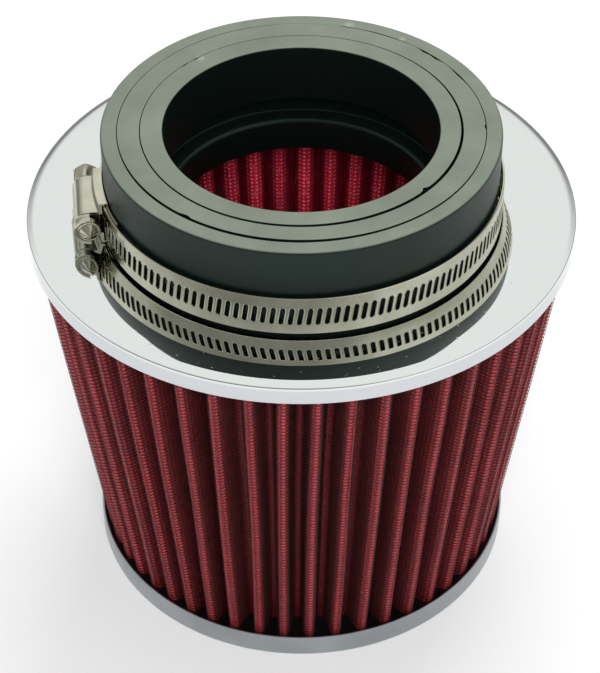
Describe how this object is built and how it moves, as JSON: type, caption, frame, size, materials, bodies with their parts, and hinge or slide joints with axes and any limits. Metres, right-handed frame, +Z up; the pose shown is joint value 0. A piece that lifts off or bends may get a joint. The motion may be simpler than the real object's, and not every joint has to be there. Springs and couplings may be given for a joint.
{
  "type": "cone air filter",
  "caption": "Clamp-on cone air filter: pleated cotton between wire screens, chromed top ring and base cap, rubber neck with two nested reducer rings and a worm-drive clamp.",
  "frame": {"origin": "centre of the base cap's underside, on the floor it stands on", "axes": "+Z up along the filter's axis, out of the neck; the clamp's screw lies towards -X and the pictured front is -Y"},
  "size_m": [0.155, 0.155, 0.1485],
  "materials": {
    "chromed_steel": "polished",
    "potting": "matte",
    "coated_wire": "satin",
    "red_cotton": "matte",
    "black_rubber": "satin",
    "stainless_steel": "brushed"
  },
  "bodies": {
    "filter": {"base_cap": "chromed_steel", "base_seal": "potting", "outer_wire_screen": "coated_wire", "cotton_media": "red_cotton", "inner_wire_screen": "coated_wire", "neck_end_cap": "black_rubber", "chrome_top_ring": "chromed_steel", "outer_reducer": "black_rubber", "inner_reducer": "black_rubber", "clamp_band": "stainless_steel", "clamp_housing": "stainless_steel"},
    "screw": {"clamp_screw": "stainless_steel"}
  },
  "joints": [
    {"name": "clamp_screw_turn", "type": "hinge", "parent": "filter", "child": "screw", "pos_m": [-0.05955, -0.00731, 0.1284], "axis": [0.1219, -0.9925, 0], "continuous": true}
  ]
}
